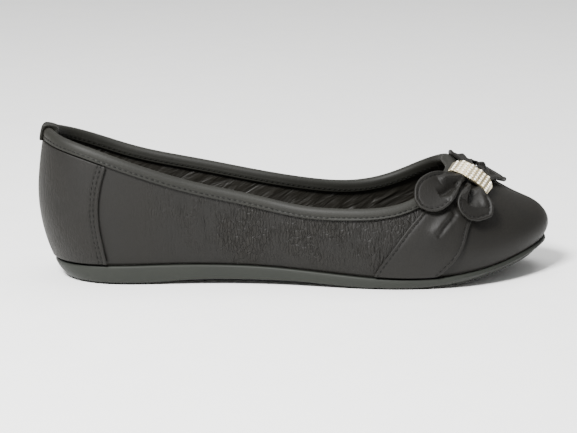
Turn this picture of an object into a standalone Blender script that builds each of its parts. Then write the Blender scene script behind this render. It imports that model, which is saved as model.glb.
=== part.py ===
"""A right ballet flat with a stitched bow, standing on its sole.

Every piece follows one surface, the skin of the last. A place on it is a pair (u, w). u runs along
the feather line, where upper and sole meet, from the heel (0) to the toe tip (1). w runs up a rib
from the lateral feather line (0) over the crest of the foot (1) to the medial feather line (2).
+X points to the toe, +Y to the medial side and +Z up, with the floor at 0.
"""
import math

import bmesh
import bpy
import numpy as np
from mathutils import Matrix, Vector

MM = 0.001

# Sizes of the last
SHOE_LENGTH = 253.2 * MM
HEEL_BULGE = 8.6 * MM       # how far the back of the heel hangs over the feather line
TOE_BULGE = 3.4 * MM
SIDE_BULGE = 7 * MM
BALL_WIDTH = 80 * MM
WAIST_WIDTH = 53 * MM
HEEL_WIDTH = 54 * MM
BACK_HEIGHT = 72 * MM        # top of the upper at the back of the heel
SEAT_HEIGHT = 8.6 * MM       # feather line above the floor, near the heel
TOE_SPRING = 14 * MM         # what the toe rises by

# Sizes of the pieces
GAP = 0.3 * MM               # between two pieces that touch on the real shoe
UPPER_WALL = 1.8 * MM
INSOLE_THICKNESS = 2 * MM
SOLE_LIP = 1.2 * MM          # how far the sole's edge stands out past the feather line
SOLE_SHOULDER = 1.6 * MM     # rounding at the top of the sole's edge
TREAD = 1.2 * MM             # the two pads that touch the floor
TREAD_SETBACK = 1.8 * MM
GROOVE_WIDTH = 1.8 * MM
GROOVE_DEPTH = 0.8 * MM
GROOVE_PITCH = 9 * MM
OVERLAY = 1.0 * MM           # heel counter
OVERLAY_LIFT = 1.3 * MM      # overlays end this far above the feather line
BINDING = 1.1 * MM
BINDING_LEG = 4.3 * MM
TAB = 0.9 * MM
TAB_WIDTH = 9 * MM
TAB_LEG = 5.6 * MM
BAND = 1.2 * MM              # strap over the vamp
PLEAT = 1.1 * MM
BOW = 1.3 * MM               # leather of the bow
REAR_WIDTH = 18 * MM         # widest places of the bow's two strips
FRONT_WIDTH = 18 * MM
BOW_STAND = 3 * MM           # height of the petals above the vamp
RING_LENGTH = 20.6 * MM
RING_WIDTH = 10 * MM
RING_RISE = 3 * MM
RING_LEAN = 0.7                  # how much lower its lateral edge is, as a share of RING_RISE
RING_SQUARE = 4              # power of the arch: higher is squarer
RING = 1.1 * MM
RING_TURN = math.radians(-20)
STRIP_PLACE = 3.6 * MM       # from the ring's middle to the middle of each strip

FEATHER_LENGTH = SHOE_LENGTH - HEEL_BULGE - TOE_BULGE
BAND_TOP = GAP + BAND

# The feather line in plan: along is a share of FEATHER_LENGTH, across a share of the width beside it,
# from the heel along the lateral side (-) to the toe tip and back along the medial side (+)
OUTLINE = [
    # along  width        across
    (0.000, HEEL_WIDTH, 0.000),
    (0.030, HEEL_WIDTH, -0.335),
    (0.110, HEEL_WIDTH, -0.490),
    (0.260, HEEL_WIDTH, -0.500),
    (0.430, WAIST_WIDTH, -0.555),
    (0.580, BALL_WIDTH, -0.470),
    (0.700, BALL_WIDTH, -0.520),
    (0.810, BALL_WIDTH, -0.490),
    (0.905, BALL_WIDTH, -0.350),
    (0.970, BALL_WIDTH, -0.150),
    (1.000, BALL_WIDTH, 0.080),
    (0.965, BALL_WIDTH, 0.310),
    (0.880, BALL_WIDTH, 0.450),
    (0.760, BALL_WIDTH, 0.480),
    (0.620, BALL_WIDTH, 0.400),
    (0.460, WAIST_WIDTH, 0.420),
    (0.270, HEEL_WIDTH, 0.440),
    (0.110, HEEL_WIDTH, 0.465),
    (0.030, HEEL_WIDTH, 0.335),
]

# Heights along the last: crest is a share of BACK_HEIGHT, seat of SEAT_HEIGHT and spring of TOE_SPRING
# (together the feather line), and spine, how far the crest line lies to the medial side, of BALL_WIDTH
LAST = [
    # along crest  seat   spring spine
    (0.00, 1.444, 1.170, 0.000, 0.000),
    (0.12, 1.419, 1.130, 0.000, 0.010),
    (0.30, 1.322, 1.210, 0.000, 0.022),
    (0.45, 1.176, 1.110, 0.000, 0.045),
    (0.55, 1.069, 0.920, 0.000, 0.064),
    (0.70, 0.882, 0.655, 0.000, 0.095),
    (0.78, 0.778, 0.610, 0.085, 0.110),
    (0.86, 0.655, 0.540, 0.300, 0.115),
    (0.93, 0.510, 0.490, 0.630, 0.115),
    (1.00, 0.435, 0.470, 1.000, 0.115),
]
HEEL_FOCUS = 0.125           # ends of the crest line, as shares of SHOE_LENGTH
TOE_FOCUS = 0.925

# Fullness of the ribs along u: lateral and medial are shares of SIDE_BULGE, rise the share of
# BACK_HEIGHT over which the side swells, and round the power of the rib's curve
SWELL = [
    # u    lateral                medial                 rise   round
    (0.00, HEEL_BULGE / SIDE_BULGE, HEEL_BULGE / SIDE_BULGE, 0.560, 2.15),
    (0.08, 0.95, 0.95, 0.375, 2.45),
    (0.20, 0.65, 0.80, 0.375, 2.50),
    (0.40, 0.57, 1.00, 0.333, 2.50),
    (0.55, 0.50, 0.80, 0.278, 2.50),
    (0.75, 0.40, 0.43, 0.180, 2.30),
    (0.90, 0.30, 0.30, 0.139, 2.35),
    (1.00, TOE_BULGE / SIDE_BULGE, TOE_BULGE / SIDE_BULGE, 0.125, 2.70),
]
FULLNESS = 0.8

# The topline on each side, from the heel to the throat: u, and rise, the share of the rib below it
TOPLINE_LATERAL = [
    # u     rise
    (0.000, 0.446),
    (0.060, 0.411),
    (0.130, 0.355),
    (0.205, 0.300),
    (0.300, 0.250),
    (0.400, 0.233),
    (0.490, 0.222),
    (0.560, 0.252),
    (0.615, 0.297),
    (0.665, 0.370),
    (0.710, 0.500),
    (0.748, 0.685),
    (0.775, 0.850),
    (0.786, 1.000),
]
TOPLINE_MEDIAL = [
    # u     rise
    (0.780, 0.870),
    (0.765, 0.737),
    (0.744, 0.620),
    (0.712, 0.487),
    (0.678, 0.385),
    (0.635, 0.303),
    (0.576, 0.250),
    (0.500, 0.238),
    (0.400, 0.243),
    (0.300, 0.257),
    (0.210, 0.280),
    (0.125, 0.332),
    (0.060, 0.400),
    (0.000, 0.446),
]

# Underside of the sole: seat and spring give the lower edge of its wall as in LAST, pad is a share
# of TREAD, and draft, how far the wall leans in on its way down, of SOLE_SHOULDER
SOLE = [
    # along seat   spring pad   draft
    (0.000, 0.320, 0.000, 1.00, 3.6),
    (0.060, 0.150, 0.000, 1.00, 2.4),
    (0.120, 0.130, 0.000, 1.00, 0.9),
    (0.220, 0.130, 0.000, 1.00, 0.6),
    (0.245, 0.170, 0.000, 0.90, 0.6),
    (0.270, 0.230, 0.000, 0.25, 0.6),
    (0.420, 0.300, 0.000, 0.20, 0.6),
    (0.520, 0.260, 0.000, 0.20, 0.6),
    (0.590, 0.150, 0.000, 0.60, 0.6),
    (0.630, 0.095, 0.000, 1.00, 0.6),
    (0.710, 0.087, 0.000, 1.00, 0.7),
    (0.760, 0.087, 0.060, 1.00, 0.8),
    (0.830, 0.087, 0.210, 1.00, 1.0),
    (0.890, 0.087, 0.440, 1.00, 1.3),
    (0.950, 0.087, 0.670, 1.00, 1.6),
    (1.000, 0.087, 0.950, 1.00, 2.0),
]
HEEL_GROOVES = (0.10, 0.23)      # where the grooves start and end, as shares of SHOE_LENGTH
FOREFOOT_GROOVES = (0.62, 0.93)

# Edges of the strap over the vamp: u at each w
BAND_REAR = [
    # w     u
    (0.000, 0.610),
    (0.075, 0.632),
    (0.155, 0.652),
    (0.250, 0.673),
    (0.352, 0.697),
    (1.000, 0.701),
    (1.648, 0.697),
    (1.750, 0.673),
    (1.845, 0.652),
    (1.925, 0.632),
    (2.000, 0.610),
]
BAND_FRONT = [
    # w     u
    (0.000, 0.718),
    (0.070, 0.744),
    (0.167, 0.762),
    (0.281, 0.772),
    (0.448, 0.796),
    (0.594, 0.822),
    (0.715, 0.843),
    (0.869, 0.858),
    (1.000, 0.858),
    (1.130, 0.852),
    (1.285, 0.836),
    (1.406, 0.818),
    (1.552, 0.793),
    (1.719, 0.772),
    (1.833, 0.762),
    (1.930, 0.744),
    (2.000, 0.718),
]
COUNTER_FRONT = 0.149            # u of the heel counter's front edge, at the feather line
COUNTER_TOP = 0.097              # its share of the topline, at the top
COUNTER_HOLLOW = 0.010           # how far that edge curves back, in u
PLEATED = [                      # depth of the strap's pleats along w, a share of PLEAT
    # w    depth
    (0.00, 0.0),
    (0.33, 1.0),
    (0.41, 1.0),
    (0.60, 0.0),
    (1.34, 0.0),
    (1.55, 1.0),
    (1.63, 1.0),
    (1.98, 0.0),
]
PLEATS = 3

# Each strip of the bow runs from the tip of its lateral petal to the ring, and on to the tip of its
# medial petal, through these u and w
REAR_LATERAL = [(0.686, 0.385), (0.701, 0.430), (0.725, 0.505), (0.751, 0.590), (0.775, 0.665)]
REAR_MEDIAL = [(0.802, 0.800), (0.815, 0.930), (0.819, 1.060), (0.814, 1.190), (0.806, 1.330)]
FRONT_LATERAL = [(0.778, 0.326), (0.781, 0.385), (0.787, 0.450), (0.793, 0.525), (0.800, 0.597)]
FRONT_MEDIAL = [(0.827, 0.735), (0.854, 0.850), (0.877, 0.930), (0.890, 1.000), (0.888, 1.070), (0.883, 1.150)]

# A strip from the ring (0) to the tip of a petal (1): wide is a share of half its width, stand and
# cup, the lift of its edges, are shares of BOW_STAND. The medial petals lie closer to the vamp.
PETAL = [
    # along wide  stand cup   medial wide, stand and cup
    (0.00, 0.27, 0.61, 0.00, 0.27, 0.61, 0.00),
    (0.20, 0.29, 0.61, 0.00, 0.29, 0.61, 0.00),
    (0.32, 0.50, 0.70, 0.45, 0.34, 0.64, 0.10),
    (0.48, 0.82, 0.85, 0.75, 0.48, 0.66, 0.12),
    (0.68, 1.00, 0.95, 0.55, 0.80, 0.66, 0.10),
    (0.82, 0.94, 1.00, 0.28, 0.86, 0.64, 0.06),
    (0.93, 0.66, 1.06, 0.10, 0.64, 0.61, 0.00),
    (1.00, 0.24, 1.12, 0.00, 0.24, 0.60, 0.00),
]
RING_PLACE = (0.799, 0.700)      # u and w of the ring's middle

# How finely the pieces are divided
TOP_COLUMNS = 32                 # of the upper, heel to throat, on each side
FRONT_COLUMNS = 11               # throat to toe tip
UPPER_ROWS = 11
COUNTER_COLUMNS = 25
COUNTER_ROWS = 12
SOLE_STATIONS = 34
BAND_COLUMNS = 32
BAND_ROWS = 8
STRIP_COLUMNS = 26
STRIP_ROWS = 7
RING_COLUMNS = 13
RING_ROWS = 5
COLUMNS = TOP_COLUMNS + FRONT_COLUMNS
CROWDING = 0.4


def read(rows, value, at):
    """Column number value of a table at each place in at, smoothly between its rows."""
    x = np.array([row[0] for row in rows])
    y = np.array([row[value] for row in rows])
    at = np.clip(np.asarray(at, float), x[0], x[-1])
    step = np.diff(x)
    slope = np.diff(y) / step
    lean = np.empty_like(y)
    lean[0], lean[-1] = slope[0], slope[-1]
    lean[1:-1] = (slope[:-1] * step[1:] + slope[1:] * step[:-1]) / (step[:-1] + step[1:])
    i = np.clip(np.searchsorted(x, at, side="right") - 1, 0, len(step) - 1)
    s = (at - x[i]) / step[i]
    return (y[i] * (1 + 2 * s) * (1 - s) ** 2 + lean[i] * step[i] * s * (1 - s) ** 2
            + y[i + 1] * s * s * (3 - 2 * s) + lean[i + 1] * step[i] * s * s * (s - 1))


def smooth_curve(before, points, after):
    """A cubic spline through points, led in by before and out by after, and its first and last knot."""
    p = np.array(before + points + after, float)
    step = np.linalg.norm(np.diff(p, axis=0), axis=1) ** 0.5
    knots = np.concatenate([[0], np.cumsum(step)])
    n = len(p)
    system = np.eye(n)
    bend = np.zeros_like(p)
    for i in range(1, n - 1):
        system[i, i - 1:i + 2] = step[i - 1], 2 * (step[i - 1] + step[i]), step[i]
        bend[i] = 6 * ((p[i + 1] - p[i]) / step[i] - (p[i] - p[i - 1]) / step[i - 1])
    bend = np.linalg.solve(system, bend)

    def at(t):
        i = np.clip(np.searchsorted(knots, t, side="right") - 1, 0, n - 2)
        h = step[i][:, None]
        a = (knots[i + 1] - t)[:, None] / h
        b = 1 - a
        return a * p[i] + b * p[i + 1] + ((a ** 3 - a) * bend[i] + (b ** 3 - b) * bend[i + 1]) * h * h / 6

    return at, knots[len(before)], knots[len(before) + len(points) - 1]


def spread(points, values, count, hem=0.0):
    """values read at count places that lie evenly along the line through points. A hem is a last
    step of its own length."""
    run = np.concatenate([[0], np.cumsum(np.linalg.norm(np.diff(points, axis=0), axis=1))])
    even = np.linspace(0, run[-1], count)
    if hem:
        even = np.append(np.linspace(0, run[-1] - hem, count - 1), run[-1])
    return np.stack([np.interp(even, run, values[:, k]) for k in range(values.shape[1])], 1)


# The feather line: FINE even steps of u on each side, with the direction out of the shoe
FINE = 400
outline_points = [(HEEL_BULGE + along * FEATHER_LENGTH, width * across) for along, width, across in OUTLINE]
outline_at, outline_start, outline_end = smooth_curve(
    outline_points[-3:], outline_points + outline_points[:1], outline_points[1:4])
outline_knots = np.linspace(outline_start, outline_end, 20 * FINE + 1)
outline_loop = outline_at(outline_knots)
tip = int(np.argmin(np.linalg.norm(outline_loop - np.array(max(outline_points)), axis=1)))
U = np.linspace(0, 1, FINE + 1)
LATERAL = spread(outline_loop[:tip + 1], outline_loop[:tip + 1], FINE + 1)
MEDIAL = spread(outline_loop[tip:], outline_loop[tip:], FINE + 1)[::-1]


def directions(side, sign):
    along = np.gradient(side, axis=0)
    out = np.stack([-along[:, 1], along[:, 0]], 1) * sign
    return out / np.linalg.norm(out, axis=1)[:, None]


LATERAL_OUT = directions(LATERAL, -1)
MEDIAL_OUT = directions(MEDIAL, 1)
for end in (0, -1):
    both = LATERAL_OUT[end] + MEDIAL_OUT[end]
    LATERAL_OUT[end] = MEDIAL_OUT[end] = both / np.linalg.norm(both)


def feather_at(u, lateral):
    """Plan position of the feather line and the direction out of it."""
    found = []
    for near, far in ((LATERAL, MEDIAL), (LATERAL_OUT, MEDIAL_OUT)):
        for k in (0, 1):
            found.append(np.where(lateral, np.interp(u, U, near[:, k]), np.interp(u, U, far[:, k])))
    return found


def feather_height(x):
    share = x / SHOE_LENGTH
    return SEAT_HEIGHT * read(LAST, 2, share) + TOE_SPRING * read(LAST, 3, share)


def spine_at(u):
    """Plan position of the crest line."""
    x = (np.interp(u, U, LATERAL[:, 0]) + np.interp(u, U, MEDIAL[:, 0])) / 2
    share = HEEL_FOCUS + (TOE_FOCUS - HEEL_FOCUS) * (x - HEEL_BULGE) / FEATHER_LENGTH
    return SHOE_LENGTH * share, BALL_WIDTH * read(LAST, 4, share)


def skin(u, w):
    """Points of the last. Behind the heel's middle u is negative and the two sides change places."""
    u, w = np.broadcast_arrays(np.asarray(u, float), np.asarray(w, float))
    w = np.where(u < 0, 2 - w, w)
    u = np.abs(u)
    lateral = w <= 1
    rise = np.clip(np.where(lateral, w, 2 - w), 0, 1)
    ox, oy, nx, ny = feather_at(u, lateral)
    sx, sy = spine_at(u)
    power = 2 / read(SWELL, 4, u)
    reach = np.where(rise < 1, np.cos(rise * math.pi / 2) ** power, 0)
    height = np.sin(rise * math.pi / 2) ** power
    x = sx + (ox - sx) * reach
    y = sy + (oy - sy) * reach
    foot = feather_height(ox)
    z = foot + (BACK_HEIGHT * read(LAST, 1, x / SHOE_LENGTH) - foot) * height
    climb = np.clip((z - foot) / (BACK_HEIGHT * read(SWELL, 3, u)), 0, 1)
    bulge = SIDE_BULGE * np.where(lateral, read(SWELL, 1, u), read(SWELL, 2, u))
    bulge = bulge * np.sin(climb * math.pi / 2) ** FULLNESS * (1 - (1 - reach) ** 3)
    return np.stack([x + nx * bulge, y + ny * bulge, z], -1)


STEP = 2e-3                      # step in u and w that slopes are measured over


def slopes(u, w):
    """Change of the skin with u and with w."""
    ahead, behind = np.minimum(u + STEP, 1), u - STEP
    over, under = np.minimum(w + STEP, 2), np.maximum(w - STEP, 0)
    along = (skin(ahead, w) - skin(behind, w)) / (ahead - behind)[..., None]
    up = (skin(u, over) - skin(u, under)) / (over - under)[..., None]
    return along, up


def unit(vectors):
    """Vectors of length 1. At the toe end of the crest line the skin has no slope, and gets 0."""
    return vectors / np.maximum(np.linalg.norm(vectors, axis=-1, keepdims=True), 1e-9)


def out_of_skin(u, w):
    return unit(np.cross(*slopes(u, w)))


def walk(u, w, move):
    """The place reached from (u, w) by going move, in metres, along the skin."""
    legs = 4
    for _ in range(legs):
        along, up = slopes(u, w)
        aa, ab, bb = (along * along).sum(-1), (along * up).sum(-1), (up * up).sum(-1)
        am, bm = (along * move).sum(-1) / legs, (up * move).sum(-1) / legs
        full = aa * bb - ab * ab
        u = u + (am * bb - bm * ab) / full
        w = w + (bm * aa - am * ab) / full
    return u, w


def foot_of_overlay(u):
    """How far up its rib an overlay starts, so that it clears the sole's edge."""
    x = feather_at(u, True)[0]
    whole = BACK_HEIGHT * read(LAST, 1, x / SHOE_LENGTH) - feather_height(x)
    return np.arcsin((OVERLAY_LIFT / whole) ** (read(SWELL, 4, u) / 2)) * 2 / math.pi


# The topline: one smooth line on the skin from the heel round the throat and back
topline_rows = TOPLINE_LATERAL + [(u, 2 - rise) for u, rise in TOPLINE_MEDIAL]
topline_at, topline_start, topline_end = smooth_curve(
    [(-u, rise) for u, rise in TOPLINE_MEDIAL[-4:-1]], topline_rows,
    [(-u, 2 - rise) for u, rise in TOPLINE_LATERAL[1:4]])
topline_line = topline_at(np.linspace(topline_start, topline_end, 6 * FINE + 1))
topline_space = skin(topline_line[:, 0], topline_line[:, 1])
TOPLINE_RUN = np.linalg.norm(np.diff(topline_space, axis=0), axis=1).sum()
crossing = int(np.argmin(np.abs(topline_line[:, 1] - 1)))
TOPLINE = np.concatenate([
    spread(topline_space[:crossing + 1], topline_line[:crossing + 1], 2 * FINE + 1),
    spread(topline_space[crossing:], topline_line[crossing:], 2 * FINE + 1)[1:]])


def topline(s):
    """(u, w) of the topline, and the direction down the skin there. s is 0 at the heel, 0.5 where the
    topline crosses the crest line and 1 at the heel again."""
    def at(share):
        share = np.asarray(share, float) % 1
        return [np.interp(share, np.linspace(0, 1, len(TOPLINE)), TOPLINE[:, k]) for k in (0, 1)]
    u, w = at(s)
    nudge = 1 / len(TOPLINE)
    ahead = skin(*at(s + nudge)) - skin(*at(s - nudge))
    out = out_of_skin(u, w)
    return u, w, unit(np.cross(ahead, out))


def station(column):
    """Share of the topline at a column of the upper, with the columns closer at heel and throat."""
    x = abs(column) / TOP_COLUMNS
    share = (x - CROWDING * math.sin(2 * math.pi * x) / (2 * math.pi)) / 2
    return share if column >= 0 else 1 - share


def below_topline(s, depth):
    """The place depth below the topline."""
    u, w, down = topline(s)
    return walk(u, w, down * depth)


# Objects, materials and meshes
for old in list(bpy.data.objects):
    bpy.data.objects.remove(old, do_unlink=True)
shoe = bpy.data.collections.new("ballet_flat")
cutters = bpy.data.collections.new("cutters")
bpy.context.scene.collection.children.link(shoe)
bpy.context.scene.collection.children.link(cutters)


def material(name, colour, roughness, metallic=0.0):
    made = bpy.data.materials.new(name)
    made.use_nodes = True
    surface = made.node_tree.nodes["Principled BSDF"]
    surface.inputs["Base Color"].default_value = (*colour, 1)
    surface.inputs["Roughness"].default_value = roughness
    surface.inputs["Metallic"].default_value = metallic
    return made


def put(name, mesh, surface, collection=shoe):
    """An object for a finished mesh, shaded smooth apart from its sharp edges."""
    mesh.materials.append(surface)
    mesh.shade_smooth()
    mesh.set_sharp_from_angle(angle=math.radians(40))
    made = bpy.data.objects.new(name, mesh)
    collection.objects.link(made)
    return made


def quads(points, ring=False):
    """Faces of a grid of points, with the last column joined to the first for a ring."""
    columns, rows = points.shape[:2]
    faces = []
    for i in range(columns if ring else columns - 1):
        for k in range(rows - 1):
            a, b = i * rows + k, (i + 1) % columns * rows + k
            faces.append((a, b, b + 1, a + 1))
    return faces


def weld(mesh, closed):
    """Join points that lie on each other, and turn a closed mesh's faces out."""
    work = bmesh.new()
    work.from_mesh(mesh)
    bmesh.ops.remove_doubles(work, verts=work.verts, dist=GAP / 100)
    if closed:
        bmesh.ops.recalc_face_normals(work, faces=work.faces)
    work.to_mesh(mesh)
    work.free()


def loft(name, sections, surface, ring=True):
    """A closed solid through sections. A ring of open ribs closes along its spine, and a bar of
    closed sections gets a cap at each end."""
    points = np.array(sections)
    if not ring:
        points = np.concatenate([points, points[:, :1]], 1)
    faces = quads(points, ring)
    if not ring:
        rows = points.shape[1]
        last = (len(points) - 1) * rows
        faces += [tuple(range(rows - 1)), tuple(last + k for k in range(rows - 1))]
    mesh = bpy.data.meshes.new(name)
    mesh.from_pydata([Vector(p) for p in points.reshape(-1, 3)], [], faces)
    weld(mesh, closed=True)
    return put(name, mesh, surface)


def shell(name, points, out, thickness, surface, inward=False, ring=False):
    """A grid of points given a thickness, on the side that out points to or on the other."""
    faces = quads(points, ring)
    a, b, c, d = (points.reshape(-1, 3)[[face[k] for face in faces]] for k in range(4))
    facing = (np.cross(c - a, d - b) * out.reshape(-1, 3)[[face[0] for face in faces]]).sum()
    if facing < 0:
        faces = [face[::-1] for face in faces]
    mesh = bpy.data.meshes.new(name)
    mesh.from_pydata([Vector(p) for p in points.reshape(-1, 3)], [], faces)
    weld(mesh, closed=False)
    made = put(name, mesh, surface)
    thick = made.modifiers.new("thickness", "SOLIDIFY")
    thick.thickness = thickness
    thick.offset = -1 if inward else 1
    thick.use_even_offset = True
    return made


leather = material("smooth_leather", (0.045, 0.045, 0.038), 0.55)
suede = material("edge_leather", (0.040, 0.040, 0.035), 0.60)
lining = material("insole_fabric", (0.030, 0.030, 0.027), 0.80)
rubber = material("sole_rubber", (0.075, 0.080, 0.068), 0.65)
metal = material("ring_metal", (0.72, 0.66, 0.52), 0.25, 1.0)


# Outsole: ribs that run from the crest line over the edge and back under the shoe
def sole_height(x):
    """Lower edge of the wall, and the tread below it, which is flat where it meets the floor."""
    share = x / SHOE_LENGTH
    edge = SEAT_HEIGHT * read(SOLE, 1, share) + TOE_SPRING * read(SOLE, 2, share)
    return edge, np.maximum(edge - TREAD * read(SOLE, 3, share), 0)


def sole_rib(u, lateral):
    x, y, nx, ny = (float(v) for v in feather_at(u, lateral))
    sx, sy = (float(v) for v in spine_at(u))
    draft = SOLE_SHOULDER * float(read(SOLE, 4, x / SHOE_LENGTH))
    top = feather_height(x) - GAP
    edge = sole_height(x)[0]

    def on_top(reach):
        px = sx + (x - sx) * reach
        return (px, sy + (y - sy) * reach, feather_height(px) - GAP)

    def outside(out, z):
        return (x + nx * out, y + ny * out, z)

    def under(out, reach, tread):
        px = sx + (x + nx * out - sx) * reach
        return (px, sy + (y + ny * out - sy) * reach, float(sole_height(px)[1 if tread else 0]))

    pad = SOLE_LIP - draft - TREAD_SETBACK
    return [
        on_top(0), on_top(0.5), on_top(0.9), on_top(1),
        outside(SOLE_LIP * 0.7, top - SOLE_SHOULDER * 0.25),
        outside(SOLE_LIP, top - SOLE_SHOULDER),
        outside(SOLE_LIP - draft * 0.35, edge + (top - edge) * 0.35),
        outside(SOLE_LIP - draft, edge + TREAD * 0.2),
        under(SOLE_LIP - draft - TREAD * 0.3, 1, False),
        under(pad, 1, False), under(pad, 1, True),
        under(pad, 0.55, True), under(pad, 0, True),
    ]


def around(rib, stations):
    """A rib at each station, down the lateral side to the toe and back along the medial side."""
    shares = np.linspace(0, 1, stations)
    return [rib(u, True) for u in shares] + [rib(u, False) for u in shares[-2:0:-1]]


outsole = loft("outsole", around(sole_rib, SOLE_STATIONS), rubber)

grooves = bmesh.new()
for first, last in (HEEL_GROOVES, FOREFOOT_GROOVES):
    for place in np.arange(first * SHOE_LENGTH, last * SHOE_LENGTH, GROOVE_PITCH):
        roof = float(sole_height(place)[1]) + GROOVE_DEPTH
        size = (GROOVE_WIDTH, 2 * BALL_WIDTH, roof + TREAD)
        box = Matrix.Translation((place, 0, roof - size[2] / 2)) @ Matrix.Diagonal((*size, 1))
        bmesh.ops.create_cube(grooves, size=1, matrix=box)
groove_mesh = bpy.data.meshes.new("tread_grooves")
grooves.to_mesh(groove_mesh)
grooves.free()
groove_cutter = put("tread_grooves", groove_mesh, rubber, cutters)
groove_cutter.hide_render = True
groove_cutter.display_type = "WIRE"
cut = outsole.modifiers.new("tread", "BOOLEAN")
cut.operation = "DIFFERENCE"
cut.solver = "EXACT"
cut.object = groove_cutter


# Insole: a sheet on the sole, inside the upper
def insole_rib(u, lateral):
    x, y, nx, ny = (float(v) for v in feather_at(u, lateral))
    sx, sy = (float(v) for v in spine_at(u))
    inset = UPPER_WALL + 2 * GAP
    x, y = x - nx * inset, y - ny * inset

    def point(reach, lift):
        px = sx + (x - sx) * reach
        return (px, sy + (y - sy) * reach, float(feather_height(px)) + lift)

    top = INSOLE_THICKNESS
    return [point(0, top), point(0.5, top), point(1, top), point(1, 0), point(0.5, 0), point(0, 0)]


loft("insole", around(insole_rib, SOLE_STATIONS), lining)


# Upper: columns from the feather line to the topline, and ahead of the throat to the crest line
def grid_line(start, stop, count, bend=0.0, hem=0.0):
    """count places spread evenly along a line on the skin that bends back by bend in the middle."""
    share = np.linspace(0, 1, 81)
    u = start[0] + (stop[0] - start[0]) * share - bend * np.sin(math.pi * share)
    w = start[1] + (stop[1] - start[1]) * share
    return spread(skin(u, w), np.stack([u, w], 1), count, hem)


throat = float(topline(0.5)[0])
upper_lines = []
for i in list(range(COLUMNS + 1)) + list(range(1 - COLUMNS, 0)):
    place = abs(i) / COLUMNS
    start = (place, 0.0 if i >= 0 else 2.0)
    if abs(i) < TOP_COLUMNS:
        stop = topline(station(i))[:2]
    else:
        stop = (throat + (1 - throat) * (abs(i) - TOP_COLUMNS) / FRONT_COLUMNS, 1.0)
    upper_lines.append(grid_line(start, stop, UPPER_ROWS, hem=BINDING_LEG + GAP))
upper_places = np.array(upper_lines)
upper_points = skin(upper_places[..., 0], upper_places[..., 1])
shell("upper", upper_points, out_of_skin(upper_places[..., 0], np.clip(upper_places[..., 1], 0.02, 1.98)),
      UPPER_WALL, leather, inward=True, ring=True)


# Heel counter: an overlay round the back, under the binding
counter_lines = []
for i in np.linspace(-COUNTER_FRONT, COUNTER_FRONT, COUNTER_COLUMNS):
    share = abs(i)
    foot = float(foot_of_overlay(share))
    u, w = below_topline(i / COUNTER_FRONT * COUNTER_TOP, BINDING_LEG + 2 * GAP)
    start = (share, foot if i >= 0 else 2 - foot)
    stop = (float(u), float(w))
    counter_lines.append(grid_line(start, stop, COUNTER_ROWS, COUNTER_HOLLOW * (share / COUNTER_FRONT) ** 2))
counter_places = np.array(counter_lines)
counter_out = out_of_skin(counter_places[..., 0], counter_places[..., 1])
counter_points = skin(counter_places[..., 0], counter_places[..., 1]) + counter_out * GAP
shell("heel_counter", counter_points, counter_out, OVERLAY, leather)


# Topline binding: a folded strip, swept round the collar
def folded_strip(s, clear_out, clear_in, thick, leg_out, leg_in, crown):
    """Section of a strip folded over the topline. clear_out and clear_in are its distances from the
    skin and from the inside of the upper, and crown its height over the edge of the upper."""
    u, w, down = topline(s)
    edge = skin(u, w)
    out = out_of_skin(u, w)
    inside = -UPPER_WALL - clear_in

    def under(depth, away):
        a, b = walk(u, w, down * depth)
        return skin(a, b) + out_of_skin(a, b) * away

    def over(height, away):
        return edge - down * height + out * away

    return [
        under(leg_out, clear_out + thick), under(leg_out * 0.45, clear_out + thick * 1.2),
        over(crown - GAP, clear_out + thick), over(crown + thick, clear_out - GAP / 2),
        over(crown + thick, inside + GAP), over(crown - GAP, inside - thick),
        under(leg_in, inside - thick), under(leg_in, inside),
        over(crown, inside), over(crown, clear_out), under(leg_out, clear_out),
    ]


binding = [folded_strip(station(k), GAP, 2 * GAP, BINDING, BINDING_LEG, BINDING_LEG, GAP)
           for k in list(range(TOP_COLUMNS + 1)) + list(range(1 - TOP_COLUMNS, 0))]
binding = [section + section[:1] for section in binding]
loft("topline_binding", binding, suede)

# Heel tab: a short strip folded over the binding at the back
tab_half = TAB_WIDTH / 2 / TOPLINE_RUN
tab = [folded_strip(s, 2 * GAP + 1.2 * BINDING, 6 * GAP + BINDING, TAB, TAB_LEG, TAB_LEG * 0.8,
                    3 * GAP + BINDING)
       for s in np.linspace(-tab_half, tab_half, 5)]
loft("heel_tab", tab, suede, ring=False)

# Strap over the vamp: its rear edge stops at the binding, and it is pleated beside the bow
binding_edge = np.array(below_topline(np.linspace(0.30, 0.70, 161), BINDING_LEG + 3 * GAP)).T
order = np.argsort(binding_edge[:, 1])


def band_line(k):
    """Places on the line at share k of the way from the strap's rear edge to its front edge."""
    foot = float(foot_of_overlay(BAND_REAR[0][1]))
    w = np.linspace(foot, 2 - foot, 401)
    rear = np.maximum(read(BAND_REAR, 1, w), np.interp(w, binding_edge[order, 1], binding_edge[order, 0]))
    u = rear + (read(BAND_FRONT, 1, w) - rear) * k
    return spread(skin(u, w), np.stack([u, w], 1), BAND_COLUMNS)


band_places = np.array([band_line(k) for k in np.linspace(0, 1, BAND_ROWS)]).transpose(1, 0, 2)
band_out = out_of_skin(band_places[..., 0], band_places[..., 1])
across = np.linspace(0, 1, BAND_ROWS)[None, :]
pleat = PLEAT * np.interp(band_places[..., 1], *zip(*PLEATED))
pleat = pleat * np.sin(PLEATS * math.pi * across) ** 2 * np.sin(math.pi * across)
band_points = skin(band_places[..., 0], band_places[..., 1]) + band_out * (GAP + pleat)[..., None]
shell("vamp_strap", band_points, band_out, BAND, leather)


# Bow: two strips side by side, gathered under the ring, each with a petal on either side
ring_out = out_of_skin(*(np.array(v) for v in RING_PLACE))
ring_along = np.array([math.cos(RING_TURN), math.sin(RING_TURN), 0])
ring_along = unit(ring_along - ring_out * (ring_along @ ring_out))
ring_across = np.cross(ring_out, ring_along)


def under_ring(distance):
    """The place on the skin at a distance from the ring's middle, along it."""
    return walk(*(np.array(v) for v in RING_PLACE), ring_along * distance)


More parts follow.
